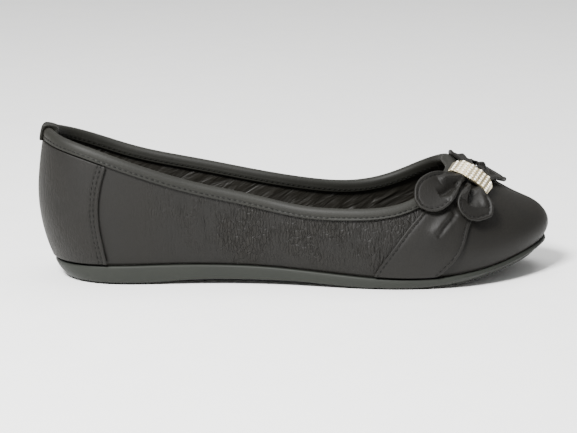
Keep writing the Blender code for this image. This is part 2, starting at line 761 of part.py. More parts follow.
def strip(name, lateral, medial, width, place):
    pinch = tuple(float(v) for v in under_ring(place))
    at, start, stop = smooth_curve([], lateral + [pinch] + medial[:1], [])
    near = at(np.linspace(start, stop, 801))
    at, start, stop = smooth_curve([], lateral[-1:] + [pinch] + medial, [])
    far = at(np.linspace(start, stop, 801))
    near = near[:int(np.argmin(np.linalg.norm(near - pinch, axis=1))) + 1]
    far = far[int(np.argmin(np.linalg.norm(far - pinch, axis=1))):]
    half_count = STRIP_COLUMNS // 2 + 1
    line = np.concatenate([spread(skin(*near.T), near, half_count), spread(skin(*far.T), far, half_count)[1:]])
    u, w = line.T
    share = np.linspace(-1, 1, len(line))
    wide, stand, cup = (np.where(share < 0, read(PETAL, column, -share), read(PETAL, column + 3, share))
                        for column in (1, 2, 3))
    middle = skin(u, w)
    side = unit(np.cross(np.gradient(middle, axis=0), out_of_skin(u, w)))
    half = width / 2 * wide
    points = np.empty((len(line), STRIP_ROWS, 3))
    outs = np.empty_like(points)
    for k, v in enumerate(np.linspace(-1, 1, STRIP_ROWS)):
        a, b = walk(u, w, side * (half * v)[:, None])
        outs[:, k] = out_of_skin(a, b)
        lift = BOW_STAND * (stand + cup * v * v)
        points[:, k] = skin(a, b) + outs[:, k] * lift[:, None]
    return shell(name, points, outs, BOW, leather)


strip("bow_rear", REAR_LATERAL, REAR_MEDIAL, REAR_WIDTH, -STRIP_PLACE)
strip("bow_front", FRONT_LATERAL, FRONT_MEDIAL, FRONT_WIDTH, STRIP_PLACE)

# Ring: an arched bar over the gathered middle of the bow
ring_points = []
ring_outs = []
for x in np.linspace(-1, 1, RING_COLUMNS):
    arch = RING_RISE * (1 - abs(x) ** RING_SQUARE)
    u, w = under_ring(x * RING_LENGTH / 2)
    out = out_of_skin(u, w)
    foot = skin(u, w) + out * (BAND_TOP + GAP)
    ring_points.append([foot + ring_across * RING_WIDTH * v + out * arch * (1 + RING_LEAN * v)
                        for v in np.linspace(-0.5, 0.5, RING_ROWS)])
    ring_outs.append([out] * RING_ROWS)
shell("bow_ring", np.array(ring_points), np.array(ring_outs), RING, metal)

# Stand the shoe on the origin, the middle of its footprint
bpy.context.view_layer.update()
corners = np.array([corner for piece in shoe.objects for corner in piece.bound_box])
middle = (corners.min(0) + corners.max(0)) / 2
for piece in list(shoe.objects) + [groove_cutter]:
    piece.data.transform(Matrix.Translation((-middle[0], -middle[1], 0)))
    piece.data.update()
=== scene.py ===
"""Looks for a right ballet flat with a stitched bow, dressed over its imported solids.

+X points to the toe, +Y to the medial side and +Z up, with the floor at 0.
"""

import math

import bmesh
import bpy
import numpy as np
from mathutils import Matrix, Vector
from mathutils.bvhtree import BVHTree
from mathutils.kdtree import KDTree


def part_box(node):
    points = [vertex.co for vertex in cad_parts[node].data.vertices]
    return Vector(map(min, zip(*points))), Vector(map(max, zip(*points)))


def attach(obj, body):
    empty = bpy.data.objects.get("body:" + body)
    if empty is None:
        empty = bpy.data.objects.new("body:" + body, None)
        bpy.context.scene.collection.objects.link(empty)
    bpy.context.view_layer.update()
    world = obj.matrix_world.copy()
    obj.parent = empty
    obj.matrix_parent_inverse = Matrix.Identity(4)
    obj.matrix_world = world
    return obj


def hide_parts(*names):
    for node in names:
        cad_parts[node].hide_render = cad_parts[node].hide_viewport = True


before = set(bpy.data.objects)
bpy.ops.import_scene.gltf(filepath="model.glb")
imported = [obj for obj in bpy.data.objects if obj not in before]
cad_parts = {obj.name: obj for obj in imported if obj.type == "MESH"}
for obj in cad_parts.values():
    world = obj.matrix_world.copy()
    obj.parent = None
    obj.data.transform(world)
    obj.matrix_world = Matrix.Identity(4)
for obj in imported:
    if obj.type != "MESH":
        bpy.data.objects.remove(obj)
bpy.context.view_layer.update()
MM = 0.001

# Outsole: a moulded rubber cup that the upper is glued into. Its wall is matte from the mould, and
# fine ribs cross its two pads.
SOLE_SHARP = math.radians(35)
RIB_PITCH = 1.6 * MM
RIB_TOP = 1.3 * MM           # the ribs end this far above the floor
RIB_DEPTH = 0.5 * MM
WAVE_LENGTH = math.pi / 10   # a band texture of scale 1 repeats at this length
RUBBER_DARK = "#191b18"
RUBBER_LIGHT = "#22241f"
RUBBER_GRAIN = 0.8 * MM
RUBBER_BLOOM = 28 * MM
GRAIN_DEPTH = 0.12 * MM


def joined(node):
    """A CAD node's mesh with its loose triangles joined, as a bmesh."""
    work = bmesh.new()
    work.from_mesh(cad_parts[node].data)
    bmesh.ops.remove_doubles(work, verts=work.verts, dist=MM / 100)
    bmesh.ops.recalc_face_normals(work, faces=work.faces)
    return work


def dress(node, name, levels, sharp, hold):
    """A smooth piece over a CAD node. Edges sharper than sharp keep their place as far as hold says."""
    mesh = bpy.data.meshes.new(name)
    work = joined(node)
    work.to_mesh(mesh)
    work.free()
    piece = bpy.data.objects.new(name, mesh)
    bpy.context.scene.collection.objects.link(piece)
    bpy.ops.object.select_all(action="DESELECT")
    piece.select_set(True)
    bpy.context.view_layer.objects.active = piece
    bpy.ops.object.mode_set(mode="EDIT")
    bpy.ops.mesh.select_mode(type="FACE")
    bpy.ops.mesh.select_all(action="SELECT")
    bpy.ops.mesh.tris_convert_to_quads(face_threshold=math.radians(50), shape_threshold=math.radians(60))
    bpy.ops.mesh.select_mode(type="EDGE")
    bpy.ops.mesh.select_all(action="DESELECT")
    bpy.ops.mesh.edges_select_sharp(sharpness=sharp)
    bpy.ops.transform.edge_crease(value=hold)
    bpy.ops.object.mode_set(mode="OBJECT")
    rounding = piece.modifiers.new("rounding", "SUBSURF")
    rounding.levels = levels
    rounding.render_levels = levels
    bpy.ops.object.modifier_apply(modifier="rounding")
    bpy.ops.object.shade_smooth()
    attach(piece, "root")
    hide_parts(node)
    return piece


def linear(colour):
    """An sRGB hex colour as the linear RGBA that shaders take."""
    shares = [int(colour[k:k + 2], 16) / 255 for k in (1, 3, 5)]
    return [c / 12.92 if c <= 0.04045 else ((c + 0.055) / 1.055) ** 2.4 for c in shares] + [1.0]


def add(tree, kind, inputs, **settings):
    """A node with its settings, and its inputs set or linked."""
    made = tree.nodes.new(kind)
    for name, value in settings.items():
        setattr(made, name, value)
    for socket, value in inputs.items():
        if isinstance(value, bpy.types.NodeSocket):
            tree.links.new(value, made.inputs[socket])
        else:
            made.inputs[socket].default_value = value
    return made


def surface(name):
    """A new material, its node tree and its shader."""
    made = bpy.data.materials.new(name)
    made.use_nodes = True
    return made, made.node_tree, made.node_tree.nodes["Principled BSDF"]


sole = dress("outsole", "outsole_rubber", 2, SOLE_SHARP, 1.0)
bpy.ops.object.shade_smooth_by_angle(angle=SOLE_SHARP)

# Moulded rubber: an even grey skin with a faint cloud of bloom and a fine matte grain.
rubber, tree, shader = surface("moulded_rubber")
place = add(tree, "ShaderNodeTexCoord", {}).outputs["Object"]
grain = add(tree, "ShaderNodeTexNoise", {"Vector": place, "Scale": 1 / RUBBER_GRAIN, "Detail": 3.0})
cloud = add(tree, "ShaderNodeTexNoise", {"Vector": place, "Scale": 1 / RUBBER_BLOOM, "Detail": 3.0})
tint = add(tree, "ShaderNodeMix", {"Factor": cloud.outputs["Fac"], "A": linear(RUBBER_DARK),
                                   "B": linear(RUBBER_LIGHT)}, data_type="RGBA")
height = add(tree, "ShaderNodeSeparateXYZ", {"Vector": place})
under = add(tree, "ShaderNodeMapRange", {"Value": height.outputs["Z"], "From Min": RIB_TOP, "From Max": 0.0})
ribs = add(tree, "ShaderNodeTexWave", {"Vector": place, "Scale": WAVE_LENGTH / RIB_PITCH, "Distortion": 0.0},
           bands_direction="X")
rib_height = add(tree, "ShaderNodeMath", {0: ribs.outputs["Fac"], 1: under.outputs["Result"]},
                 operation="MULTIPLY")
tread = add(tree, "ShaderNodeBump", {"Height": rib_height.outputs["Value"], "Strength": 0.8,
                                     "Distance": RIB_DEPTH})
relief = add(tree, "ShaderNodeBump", {"Height": grain.outputs["Fac"], "Strength": 0.25,
                                      "Distance": GRAIN_DEPTH, "Normal": tread.outputs["Normal"]})
polish = add(tree, "ShaderNodeMapRange", {"Value": cloud.outputs["Fac"], "To Min": 0.52, "To Max": 0.66})
tree.links.new(tint.outputs["Result"], shader.inputs["Base Color"])
tree.links.new(polish.outputs["Result"], shader.inputs["Roughness"])
tree.links.new(relief.outputs["Normal"], shader.inputs["Normal"])
shader.inputs["Specular IOR Level"].default_value = 0.25
sole.data.materials.append(rubber)

# Insole: a thin sock, glued to the board inside the shoe before it is boxed. It is a brushed synthetic
# suede, whose nap lies in long streaks.
SOCK_SHARP = math.radians(50)
SOCK_DARK = "#1c1b17"
SOCK_LIGHT = "#34332c"
SOCK_NAP = 1.2 * MM
SOCK_STREAK = 5 * MM
insole = dress("insole", "insole_sock", 2, SOCK_SHARP, 0.6)

# Brushed suede: soft and without shine, a little lighter where the nap is stroked.
sock, tree, shader = surface("brushed_sock_suede")
place = add(tree, "ShaderNodeTexCoord", {}).outputs["Object"]
nap = add(tree, "ShaderNodeTexNoise", {"Vector": place, "Scale": 1 / SOCK_NAP, "Detail": 4.0})
stroke = add(tree, "ShaderNodeMapping", {"Vector": place, "Scale": (0.35, 1.0, 1.0)})
streak = add(tree, "ShaderNodeTexNoise", {"Vector": stroke.outputs["Vector"], "Scale": 1 / SOCK_STREAK,
                                          "Detail": 3.0})
tint = add(tree, "ShaderNodeMix", {"Factor": streak.outputs["Fac"], "A": linear(SOCK_DARK),
                                   "B": linear(SOCK_LIGHT)}, data_type="RGBA")
relief = add(tree, "ShaderNodeBump", {"Height": nap.outputs["Fac"], "Strength": 0.4, "Distance": 0.2 * MM})
tree.links.new(tint.outputs["Result"], shader.inputs["Base Color"])
tree.links.new(relief.outputs["Normal"], shader.inputs["Normal"])
shader.inputs["Roughness"].default_value = 0.85
shader.inputs["Specular IOR Level"].default_value = 0.2
insole.data.materials.append(sock)

# Upper: one piece of matte synthetic nubuck, lasted over the foot and lined. It is crazed, and drawn
# into upright wrinkles, along both sides, where the foot bends it.
AXIS_HEIGHT = 22 * MM        # the shoe's inside turns round a line at this height
UPPER_SHARP = math.radians(60)
CREASE_STEP = 0.5 * MM
CREASE_DEPTH = 0.6 * MM
CREASE_WIDTH = 1.8 * MM
WALL_REACH = 5 * MM          # a line pressed into a wall moves nothing that lies deeper than this
FLEX_MIDDLE = -2 * MM        # the sides wrinkle most about here
FLEX_HALF = 75 * MM
FLEX_GAIN = 1.6
FLEX_FOOT = 6 * MM           # least up to this height, and more and more over the next FLEX_FADE
FLEX_FADE = 12 * MM
FLEX_LEAST = 0.2
NUBUCK_DARK = "#0b0a08"
NUBUCK_LIGHT = "#13110d"
NUBUCK_DUST = "#8d8470"
CLOUD_SIZE = 16 * MM
NAP_SIZE = 0.55 * MM
NAP_DEPTH = 0.12 * MM
DRIFT_SIZE = 5 * MM          # wrinkles and crazing wander this often
DRIFT_REACH = 2.2 * MM       # and this far
CRAZE_SIZE = 1.3 * MM        # real crazing is finer, and this is as coarse as it needs to show
CRAZE_DEPTH = 0.4 * MM
WRINKLE_SIZE = 1.5 * MM
WRINKLE_DEPTH = 1.0 * MM
SIDE_CREASES = [             # x and z in mm down each crease, from the binding towards the sole
    [(-55, 42), (-52, 34), (-53, 24)],
    [(-44, 41), (-43, 33), (-40, 25), (-41, 17)],
    [(-33, 37), (-35, 29), (-31, 20)],
    [(-24, 36), (-22, 28), (-25, 19), (-22, 13)],
    [(-12, 34), (-14, 26), (-10, 17)],
    [(-2, 31), (-1, 24), (-5, 16)],
    [(9, 30), (7, 23), (11, 14)],
    [(19, 29), (22, 22), (18, 15)],
    [(31, 29), (29, 23), (33, 15)],
    [(42, 28), (40, 21), (45, 14)],
]


def away_from_axis(points):
    """Unit directions out from the shoe's lengthwise axis."""
    out = points * (0.0, 1.0, 1.0) - (0.0, 0.0, AXIS_HEIGHT)
    return out / np.maximum(np.linalg.norm(out, axis=1), 1e-9)[:, None]


def places(piece):
    """A piece's vertices as an array."""
    flat = np.empty(3 * len(piece.data.vertices), dtype=np.float32)
    piece.data.vertices.foreach_get("co", flat)
    return flat.reshape(-1, 3).astype(float)


def skin_of(piece):
    """A finished piece's surface, for casting lines and stitches on it."""
    corners = [tuple(v) for v in places(piece)]
    return BVHTree.FromPolygons(corners, [tuple(f.vertices) for f in piece.data.polygons])


def drawn(points, step):
    """A smooth line through points, with its samples a step apart."""
    points = np.array(points, dtype=float)
    before, after = 2 * points[0] - points[1], 2 * points[-1] - points[-2]
    ends = np.vstack([before, points, after])
    line = [points[0]]
    for a, b, c, d in zip(ends, ends[1:], ends[2:], ends[3:]):
        count = max(2, int(np.linalg.norm(c - b) / step))
        for t in np.arange(1, count + 1) / count:
            line.append(0.5 * (2 * b + (c - a) * t + (2 * a - 5 * b + 4 * c - d) * t * t
                               + (3 * b - a - 3 * c + d) * t ** 3))
    return np.array(line)


def cast(skin, line, way):
    """Where a flat line in mm meets a surface. The way is 0 from above, -1 from the lateral side, and 1
    from the medial side."""
    ahead = Vector((0, -way, 0)) if way else Vector((0, 0, -1))
    hits = []
    for a, b in drawn(np.array(line) * MM, CREASE_STEP):
        start = Vector((a, way, b)) if way else Vector((a, b, 1))
        spot, normal, _, _ = skin.ray_cast(start, ahead)
        if spot is not None:
            hits.append((spot, normal))
    return hits


def nearest(points, spots):
    """Which of the spots is nearest to each point."""
    tree = KDTree(len(spots))
    for k, spot in enumerate(spots):
        tree.insert(spot, k)
    tree.balance()
    return np.array([tree.find(point)[1] for point in points], dtype=int)


def press(piece, hits, depth, width, fade=0.3):
    """Pushes a soft trough, or with a negative depth a ridge, into both faces of a piece along a line. It
    fades out over the given share of the line at either end."""
    if len(hits) < 2:
        return
    points = places(piece)
    spots = np.array([spot for spot, _ in hits])
    normals = np.array([normal for _, normal in hits])
    share = np.linspace(0, 1, len(hits))
    strength = np.clip(np.minimum(share, 1 - share) / fade, 0, 1)
    low, high = spots.min(0) - 4 * width, spots.max(0) + 4 * width
    near = np.nonzero(((points > low) & (points < high)).all(1))[0]
    best = nearest(points[near], spots)
    apart = points[near] - spots[best]
    rise = (apart * normals[best]).sum(1)
    reach = (apart ** 2).sum(1) - rise ** 2
    push = depth * strength[best] ** 0.5 * np.exp(-reach / width ** 2) * (np.abs(rise) < WALL_REACH)
    points[near] -= normals[best] * push[:, None]
    piece.data.vertices.foreach_set("co", points.astype(np.float32).ravel())
    piece.data.update()


def swell(piece, hits, amount, width):
    """Thickens a piece beside a line on its surface, as a folded edge is."""
    points = places(piece)
    normals = np.array([vert.normal for vert in piece.data.vertices])
    spots = np.array([spot for spot, _ in hits])
    low, high = spots.min(0) - 3 * width, spots.max(0) + 3 * width
    near = np.nonzero(((points > low) & (points < high)).all(1))[0]
    reach = ((points[near] - spots[nearest(points[near], spots)]) ** 2).sum(1)
    points[near] += normals[near] * (amount * np.exp(-reach / width ** 2))[:, None]
    piece.data.vertices.foreach_set("co", points.astype(np.float32).ravel())
    piece.data.update()


def tag(piece, name, values):
    """Keeps a number for each vertex, which a material reads."""
    piece.data.attributes.new(name, "FLOAT", "POINT").data.foreach_set("value", values.astype(np.float32))


def leather(name, dark, light, craze, wrinkle):
    """Synthetic leather: a clouded colour, a fine nap, and crazing and wrinkles where it is tagged flex, with
    painted shade in the cracks and painted light on the cells.
    """
    made, tree, shader = surface(name)
    place = add(tree, "ShaderNodeTexCoord", {}).outputs["Object"]
    cloud = add(tree, "ShaderNodeTexNoise", {"Vector": place, "Scale": 1 / CLOUD_SIZE, "Detail": 4.0})
    nap = add(tree, "ShaderNodeTexNoise", {"Vector": place, "Scale": 1 / NAP_SIZE, "Detail": 3.0})
    drift = add(tree, "ShaderNodeTexNoise", {"Vector": place, "Scale": 1 / DRIFT_SIZE, "Detail": 2.0})
    sway = add(tree, "ShaderNodeVectorMath", {0: drift.outputs["Color"], "Scale": DRIFT_REACH},
               operation="SCALE")
    bent = add(tree, "ShaderNodeVectorMath", {0: place, 1: sway.outputs["Vector"]}, operation="ADD")
    upright = add(tree, "ShaderNodeMapping", {"Vector": bent.outputs["Vector"], "Scale": (1.0, 0.8, 0.3)})
    cells = add(tree, "ShaderNodeTexVoronoi", {"Vector": upright.outputs["Vector"], "Scale": 1 / CRAZE_SIZE},
                feature="DISTANCE_TO_EDGE")
    crack = add(tree, "ShaderNodeMapRange", {"Value": cells.outputs["Distance"], "From Max": 0.16})
    tall = add(tree, "ShaderNodeMapping", {"Vector": bent.outputs["Vector"], "Scale": (1.0, 0.5, 0.16)})
    folds = add(tree, "ShaderNodeTexNoise", {"Vector": tall.outputs["Vector"], "Scale": 1 / WRINKLE_SIZE,
                                             "Detail": 3.0, "Roughness": 0.6},
                noise_type="RIDGED_MULTIFRACTAL")
    flex = add(tree, "ShaderNodeAttribute", {}, attribute_name="flex").outputs["Fac"]
    share = add(tree, "ShaderNodeMapRange", {"Value": flex, "To Min": 0.05, "To Max": 1.0})
    patch = add(tree, "ShaderNodeMapRange", {"Value": cloud.outputs["Fac"], "From Min": 0.28,
                                             "From Max": 0.6})
    fold_height = add(tree, "ShaderNodeMath", {0: folds.outputs["Fac"], 1: share.outputs["Result"]},
                      operation="MULTIPLY")
    spread = add(tree, "ShaderNodeMath", {0: share.outputs["Result"], 1: patch.outputs["Result"]},
                 operation="MULTIPLY")
    craze_height = add(tree, "ShaderNodeMath", {0: crack.outputs["Result"], 1: spread.outputs["Value"]},
                       operation="MULTIPLY")
    wrinkled = add(tree, "ShaderNodeBump", {"Height": fold_height.outputs["Value"], "Strength": 1.0,
                                            "Distance": wrinkle}, invert=True)
    crazed = add(tree, "ShaderNodeBump", {"Height": craze_height.outputs["Value"], "Strength": 1.0,
                                          "Distance": craze, "Normal": wrinkled.outputs["Normal"]})
    relief = add(tree, "ShaderNodeBump", {"Height": nap.outputs["Fac"], "Strength": 0.45,
                                          "Distance": NAP_DEPTH, "Normal": crazed.outputs["Normal"]})
    tint = add(tree, "ShaderNodeMix", {"Factor": cloud.outputs["Fac"], "A": linear(dark), "B": linear(light)},
               data_type="RGBA")
    # Painted shade and light: the colour is scaled from 0.82 in the craze cracks, and where there is no
    # crazing, to 1.08 on the crazed cells.
    line = add(tree, "ShaderNodeMapRange", {"Value": craze_height.outputs["Value"], "To Min": 0.82,
                                            "To Max": 1.08})
    shade = add(tree, "ShaderNodeVectorMath", {0: tint.outputs["Result"], "Scale": line.outputs["Result"]},
                operation="SCALE")
    polish = add(tree, "ShaderNodeMapRange", {"Value": cloud.outputs["Fac"], "To Min": 0.52, "To Max": 0.68})
    tree.links.new(shade.outputs["Vector"], shader.inputs["Base Color"])
    tree.links.new(polish.outputs["Result"], shader.inputs["Roughness"])
    tree.links.new(relief.outputs["Normal"], shader.inputs["Normal"])
    shader.inputs["Specular IOR Level"].default_value = 0.25
    shader.inputs["Sheen Weight"].default_value = 0.03
    shader.inputs["Sheen Roughness"].default_value = 0.5
    shader.inputs["Sheen Tint"].default_value = linear(NUBUCK_DUST)
    return made


upper = dress("upper", "upper_leather", 2, UPPER_SHARP, 0.8)
skin = skin_of(upper)
for line in SIDE_CREASES:
    for side in (-1, 1):
        press(upper, cast(skin, line, side), CREASE_DEPTH, CREASE_WIDTH)
spots = places(upper)
along = np.clip(1 - np.abs(spots[:, 0] - FLEX_MIDDLE) / FLEX_HALF, 0, 1)
up = np.clip((spots[:, 2] - FLEX_FOOT) / FLEX_FADE, FLEX_LEAST, 1)
tag(upper, "flex", np.minimum(1, FLEX_GAIN * along) * up)

# Nubuck gives a nearly black, dull face, with a dusty bloom where the light grazes it.
nubuck = leather("crazed_nubuck", NUBUCK_DARK, NUBUCK_LIGHT, CRAZE_DEPTH, WRINKLE_DEPTH)
upper.data.materials.append(nubuck)

# Lining: a thin black synthetic, pasted to the inside of the upper before it is lasted. It puckers on a
# slant where the sides bend, with painted highlights on the puckers, and shines a little more than the
# nubuck.
PUCKER_SIZE = 4 * MM
PUCKER_DEPTH = 1.6 * MM
PUCKER_SLANT = math.radians(60)
PUCKER_STRETCH = 5.0         # a pucker is this many times as long as it is wide
LINING_DARK = "#11100d"
LINING_LIGHT = "#1c1a15"
LINING_WEAVE = 0.5 * MM
WEAVE_DEPTH = 0.15 * MM
lining, tree, shader = surface("puckered_lining")
place = add(tree, "ShaderNodeTexCoord", {}).outputs["Object"]
slant = add(tree, "ShaderNodeMapping", {"Vector": place, "Rotation": (0.0, PUCKER_SLANT, 0.0),
                                        "Scale": (1.0, 1.0, PUCKER_STRETCH)}, vector_type="TEXTURE")
pucker_and_painted_light = add(tree, "ShaderNodeTexNoise", {"Vector": slant.outputs["Vector"], "Scale": 1 / PUCKER_SIZE,
                                          "Detail": 3.0, "Distortion": 0.6})
weave = add(tree, "ShaderNodeTexNoise", {"Vector": place, "Scale": 1 / LINING_WEAVE, "Detail": 2.0})
# Painted highlights and shade: the colour is lighter on the pucker ridges and darker in their hollows.
tint = add(tree, "ShaderNodeMix", {"Factor": pucker_and_painted_light.outputs["Fac"], "A": linear(LINING_DARK),
                                   "B": linear(LINING_LIGHT)}, data_type="RGBA")
puckers = add(tree, "ShaderNodeBump", {"Height": pucker_and_painted_light.outputs["Fac"], "Strength": 0.8,
                                       "Distance": PUCKER_DEPTH})
relief = add(tree, "ShaderNodeBump", {"Height": weave.outputs["Fac"], "Strength": 0.4,
                                      "Distance": WEAVE_DEPTH, "Normal": puckers.outputs["Normal"]})
tree.links.new(tint.outputs["Result"], shader.inputs["Base Color"])
tree.links.new(relief.outputs["Normal"], shader.inputs["Normal"])
shader.inputs["Roughness"].default_value = 0.5
shader.inputs["Specular IOR Level"].default_value = 0.3
upper.data.materials.append(lining)
middles = np.array([face.center for face in upper.data.polygons])
facing = (np.array([face.normal for face in upper.data.polygons]) * away_from_axis(middles)).sum(1)
upper.data.polygons.foreach_set("material_index", (facing < 0).astype(np.int32))
upper.data.update()

# Thread: black polyester, waxed so that it runs through the leather. Every row on the shoe is sewn with
# it, and its colour is flecked a little lighter as painted glints along its twist.
THREAD_DARK = "#050504"
THREAD_LIGHT = "#0c0c0a"
THREAD_GLINT_SIZE = 0.3 * MM
thread, tree, shader = surface("waxed_thread")
place = add(tree, "ShaderNodeTexCoord", {}).outputs["Object"]
# Painted glints: the thread's colour is flecked lighter by a fine noise.
twist_glints = add(tree, "ShaderNodeTexNoise", {"Vector": place, "Scale": 1 / THREAD_GLINT_SIZE, "Detail": 2.0})
tint = add(tree, "ShaderNodeMix", {"Factor": twist_glints.outputs["Fac"], "A": linear(THREAD_DARK),
                                   "B": linear(THREAD_LIGHT)}, data_type="RGBA")
tree.links.new(tint.outputs["Result"], shader.inputs["Base Color"])
shader.inputs["Roughness"].default_value = 0.5
shader.inputs["Specular IOR Level"].default_value = 0.15

# Heel counter: a second layer of the same leather round the heel. Its front edges are folded under,
# with two rows of stitches beside them.
RIM_SHARP = math.radians(50)
RIM_CORNER = math.radians(40)
STITCH_PITCH = 2.7 * MM
STITCH_LENGTH = 2.0 * MM
STITCH_THICK = 0.5 * MM
STITCH_SIDES = 6
COUNTER_ROWS = (2.2 * MM, 3.9 * MM)
CHANNEL = 0.3 * MM           # a row of stitches lies in a channel this deep
CHANNEL_WIDTH = 0.6 * MM
OPEN_FADE = 0.05             # a channel ends within this share of its row
FOLD_INSET = 0.7 * MM        # middle of a folded edge, from the edge itself
COUNTER_FOLD = 0.4 * MM      # a folded edge is this much thicker
COUNTER_FOLD_WIDTH = 0.8 * MM
FRONT_LEAN = 10 * MM         # a front edge stands nearly upright, and is longer than FRONT_RISE
FRONT_RISE = 25 * MM
COUNTER_FLEX = 0.1           # wrinkles at the counter's top
COUNTER_FLEX_GAIN = 0.25     # and so much more at the floor
COUNTER_TOP = 60 * MM


def outer_sheet(work):
    """The faces of a thin piece's outer sheet, and the sharp edges that bound all its sheets."""
    sharp = {edge for edge in work.edges if len(edge.link_faces) == 2 and edge.calc_face_angle() > RIM_SHARP}
    left = set(work.faces)
    sheets = []
    while left:
        sheet = {left.pop()}
        grow = list(sheet)
        while grow:
            for edge in grow.pop().edges:
                more = [] if edge in sharp else [face for face in edge.link_faces if face in left]
                left.difference_update(more)
                sheet.update(more)
                grow.extend(more)
        middles = np.array([face.calc_center_median() for face in sheet])
        normals = np.array([face.normal for face in sheet])
        areas = np.array([face.calc_area() for face in sheet])
        outward = (normals * away_from_axis(middles)).sum(1)
        sheets.append(((areas * (1 + outward)).sum(), sheet))
    return max(sheets, key=lambda pair: pair[0])[1], sharp


def sheet_edges(node):
    """The edge of a node's outer sheet, in runs between its corners. A run is a list of places and a
    list of directions into the sheet."""
    work = joined(node)
    sheet, sharp = outer_sheet(work)
    beside = {}
    for edge in sharp:
        inner = [face for face in edge.link_faces if face in sheet]
        if len(inner) == 1:
            for vert in edge.verts:
                beside.setdefault(vert, []).append((edge, inner[0]))
    runs = []
    while beside:
        loop = [min(beside, key=lambda vert: vert.index)]
        inward = []
        last = None
        while len(loop) == 1 or loop[-1] is not loop[0]:
            edge, face = next(pair for pair in beside[loop[-1]] if pair[0] is not last)
            last = edge
            following = edge.other_vert(loop[-1])
            into = face.normal.cross(following.co - loop[-1].co).normalized()
            if into.dot(face.calc_center_median() - loop[-1].co) < 0:
                into.negate()
            inward.append(into)
            loop.append(following)
        for vert in loop[1:]:
            del beside[vert]
        count = len(inward)
        steps = [(loop[k + 1].co - loop[k].co).normalized() for k in range(count)]
        corners = [k for k in range(count) if steps[k - 1].angle(steps[k]) > RIM_CORNER] or [0]
        for start, stop in zip(corners, corners[1:] + [corners[0] + count]):
            run = range(start, stop + 1)
            runs.append(([loop[k % count].co.copy() for k in run],
                         [(inward[(k - (k > start)) % count] + inward[(k - (k == stop)) % count]).normalized()
                          for k in run]))
    work.free()
    return runs


def seam(run, skin, inset, step):
    """Places and normals a step apart on a surface, along a run and inset from it."""
    line = drawn([spot + into * inset for spot, into in zip(*run)], step)
    lengths = np.concatenate([[0], np.cumsum(np.linalg.norm(np.diff(line, axis=0), axis=1))])
    even = np.arange(step / 2, lengths[-1], step)
    line = np.stack([np.interp(even, lengths, line[:, k]) for k in range(3)], 1)
    return [skin.find_nearest(Vector(spot))[:2] for spot in line]


def sew(name, seams):
    """Stitches along seams, as one piece of thread."""
    work = bmesh.new()
    for row in seams:
        for k, (spot, normal) in enumerate(row):
            along = (row[min(k + 1, len(row) - 1)][0] - row[max(k - 1, 0)][0]).normalized()
            across = normal.cross(along).normalized()
            turn = Matrix((along, across, along.cross(across))).transposed().to_4x4()
            size = Matrix.Diagonal((STITCH_LENGTH / 2, STITCH_THICK / 2, STITCH_THICK / 2, 1))
            bmesh.ops.create_uvsphere(work, u_segments=STITCH_SIDES, v_segments=STITCH_SIDES - 1, radius=1,
                                      matrix=Matrix.Translation(spot) @ turn @ size)
    mesh = bpy.data.meshes.new(name)
    work.to_mesh(mesh)
    work.free()
    piece = bpy.data.objects.new(name, mesh)
    bpy.context.scene.collection.objects.link(piece)
    mesh.shade_smooth()
    mesh.materials.append(thread)
    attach(piece, "root")


counter = dress("heel_counter", "counter_leather", 3, RIM_SHARP, 0.5)
counter.data.materials.append(nubuck)
down = np.clip(1 - places(counter)[:, 2] / COUNTER_TOP, 0, 1)
tag(counter, "flex", COUNTER_FLEX + COUNTER_FLEX_GAIN * down)
fronts = [run for run in sheet_edges("heel_counter")
          if abs(run[0][0].x - run[0][-1].x) < FRONT_LEAN and abs(run[0][0].z - run[0][-1].z) > FRONT_RISE]
skin = skin_of(counter)
for run in fronts:
    swell(counter, seam(run, skin, FOLD_INSET, CREASE_STEP), COUNTER_FOLD, COUNTER_FOLD_WIDTH)
    for inset in COUNTER_ROWS:
        press(counter, seam(run, skin, inset, CREASE_STEP), CHANNEL, CHANNEL_WIDTH, OPEN_FADE)
skin = skin_of(counter)
sew("counter_stitches", [seam(run, skin, inset, STITCH_PITCH) for run in fronts for inset in COUNTER_ROWS])

# Strap over the vamp: a strip of the same nubuck, lasted under the foot with the upper. It is stitched
# along both edges, and drawn into a pleat beside the bow.
EDGE_ROW = 1.6 * MM          # from a folded edge to its row of stitches
STRAP_FOLD = 0.2 * MM
STRAP_FOLD_WIDTH = 0.7 * MM
LONG_EDGE = 12               # a long edge of the strap has more places than this, and an end has fewer
PLEAT_DEPTH = 1.6 * MM
PLEAT_WIDTH = 1.3 * MM
RIDGE_HEIGHT = 1.3 * MM
RIDGE_WIDTH = 2.6 * MM
# Both lines of the pleat are x and y in mm along them.
PLEAT_LINE = [(77, -34.6), (74.5, -37.1), (71.5, -39.4), (69, -41), (67.1, -42.1)]
PLEAT_RIDGE = [(74.6, -35.4), (71.5, -38.2), (68.1, -40.5), (64.8, -42.2)]
strap = dress("vamp_strap", "strap_leather", 3, RIM_SHARP, 0.5)
strap.data.materials.append(nubuck)
skin = skin_of(strap)
press(strap, cast(skin, PLEAT_RIDGE, 0), -RIDGE_HEIGHT, RIDGE_WIDTH)
press(strap, cast(skin, PLEAT_LINE, 0), PLEAT_DEPTH, PLEAT_WIDTH)
edges = [run for run in sheet_edges("vamp_strap") if len(run[0]) > LONG_EDGE]
skin = skin_of(strap)
for run in edges:
    swell(strap, seam(run, skin, FOLD_INSET, CREASE_STEP), STRAP_FOLD, STRAP_FOLD_WIDTH)
    press(strap, seam(run, skin, EDGE_ROW, CREASE_STEP), CHANNEL, CHANNEL_WIDTH, OPEN_FADE)
skin = skin_of(strap)
sew("strap_stitches", [seam(run, skin, EDGE_ROW, STITCH_PITCH) for run in edges])

